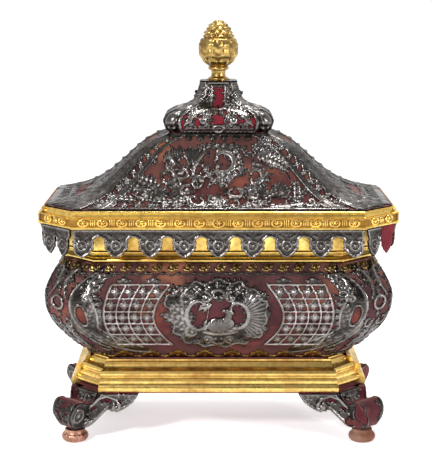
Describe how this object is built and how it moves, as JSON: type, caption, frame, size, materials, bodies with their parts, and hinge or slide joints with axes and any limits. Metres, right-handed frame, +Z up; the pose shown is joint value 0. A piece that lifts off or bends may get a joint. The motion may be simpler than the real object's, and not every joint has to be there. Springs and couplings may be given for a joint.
{
  "type": "reliquary casket",
  "caption": "Velvet-covered bombe casket with silver openwork mounts, gilt mouldings, a stepped lid with a lantern and cone finial, on bracket feet.",
  "frame": {"origin": "on the ground under the middle of the casket", "axes": "+Z up, +X to the casket's right side as seen from the front, the front faces -Y"},
  "size_m": [0.5, 0.27, 0.5834],
  "materials": {
    "velvet": "worn dusty red velvet",
    "bright_velvet": "bright red velvet",
    "silver": "tarnished repousse silver sheet",
    "gilt": "bright gilt copper",
    "copper": "rubbed copper and brown wood"
  },
  "bodies": {
    "root": {"base_board": "bright_velvet", "casket_body": "velvet", "lid_roof": "velvet", "plinth_front": "gilt", "cornice_front": "gilt", "lambrequin_front": "silver", "plinth_front_right": "gilt", "cornice_front_right": "gilt", "lambrequin_front_right": "silver", "plinth_right": "gilt", "cornice_right": "gilt", "lambrequin_right": "silver", "plinth_back_right": "gilt", "cornice_back_right": "gilt", "lambrequin_back_right": "silver", "plinth_back": "gilt", "cornice_back": "gilt", "lambrequin_back": "silver", "plinth_back_left": "gilt", "cornice_back_left": "gilt", "lambrequin_back_left": "silver", "plinth_left": "gilt", "cornice_left": "gilt", "lambrequin_left": "silver", "plinth_front_left": "gilt", "cornice_front_left": "gilt", "lambrequin_front_left": "silver", "foot_front_left": "silver", "bun_foot_front_left": "copper", "corner_mount_front_left": "silver", "hip_mount_front_left": "silver", "foot_front_right": "silver", "bun_foot_front_right": "copper", "corner_mount_front_right": "silver", "hip_mount_front_right": "silver", "foot_back_left": "silver", "bun_foot_back_left": "copper", "corner_mount_back_left": "silver", "hip_mount_back_left": "silver", "foot_back_right": "silver", "bun_foot_back_right": "copper", "corner_mount_back_right": "silver", "hip_mount_back_right": "silver", "flower_border": "silver", "lamb_cartouche": "silver", "trellis_left": "silver", "trellis_right": "silver", "cartouche_back": "silver", "cartouche_left": "silver", "cartouche_right": "silver", "roof_mount_front": "silver", "roof_mount_back": "silver", "roof_mount_left": "silver", "roof_mount_right": "silver", "lantern_mounts": "silver", "rim_moulding": "gilt", "leaf_border": "gilt", "finial": "gilt", "lantern": "bright_velvet"}
  },
  "joints": []
}
